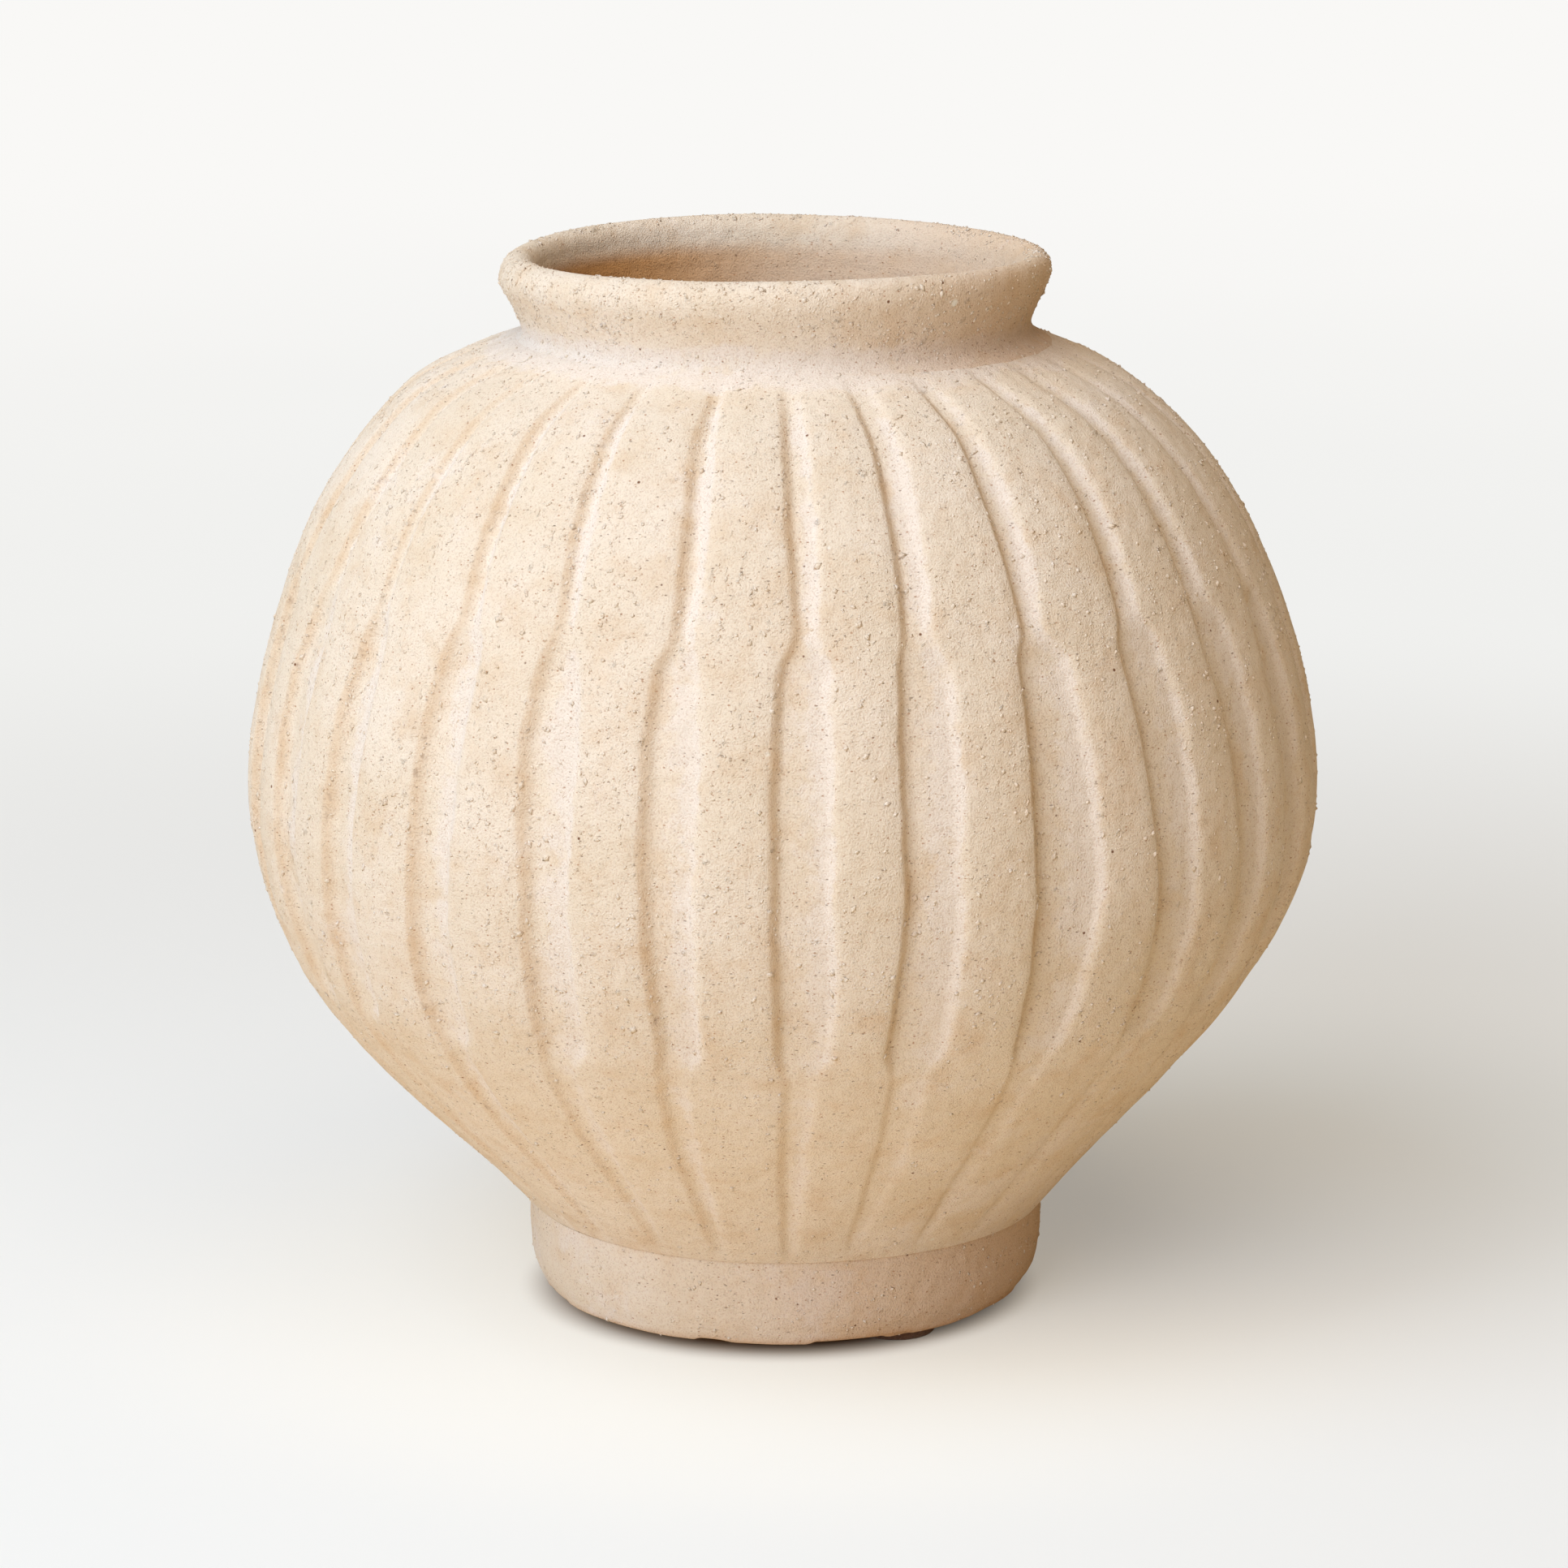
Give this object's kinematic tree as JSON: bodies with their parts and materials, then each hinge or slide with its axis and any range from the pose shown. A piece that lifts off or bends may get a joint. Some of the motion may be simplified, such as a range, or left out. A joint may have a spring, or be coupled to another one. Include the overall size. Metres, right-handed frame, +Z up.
{
  "type": "vase",
  "caption": "Round fluted terracotta vase with a flared rolled collar, a low plain foot and stick-on felt pads.",
  "frame": {"origin": "on the table, under the middle of the foot", "axes": "+Z up along the vase's axis; -Y is the front that the picture shows, +X is to its right"},
  "size_m": [0.2633, 0.2636, 0.2632],
  "materials": {
    "buff_clay": "unglazed coarse buff terracotta with grog, fine pinholes and brown specks, dry and matt",
    "brown_felt": "dense needled wool felt, brown",
    "pad_adhesive": "thin translucent pressure-sensitive adhesive layer"
  },
  "bodies": {
    "root": {"collar": "buff_clay", "belly": "buff_clay", "foot_ring": "buff_clay", "base_slab": "buff_clay", "felt_pad_1": "brown_felt", "felt_pad_2": "brown_felt", "felt_pad_3": "brown_felt", "pad_adhesive_1": "pad_adhesive", "pad_adhesive_2": "pad_adhesive", "pad_adhesive_3": "pad_adhesive"}
  },
  "joints": []
}
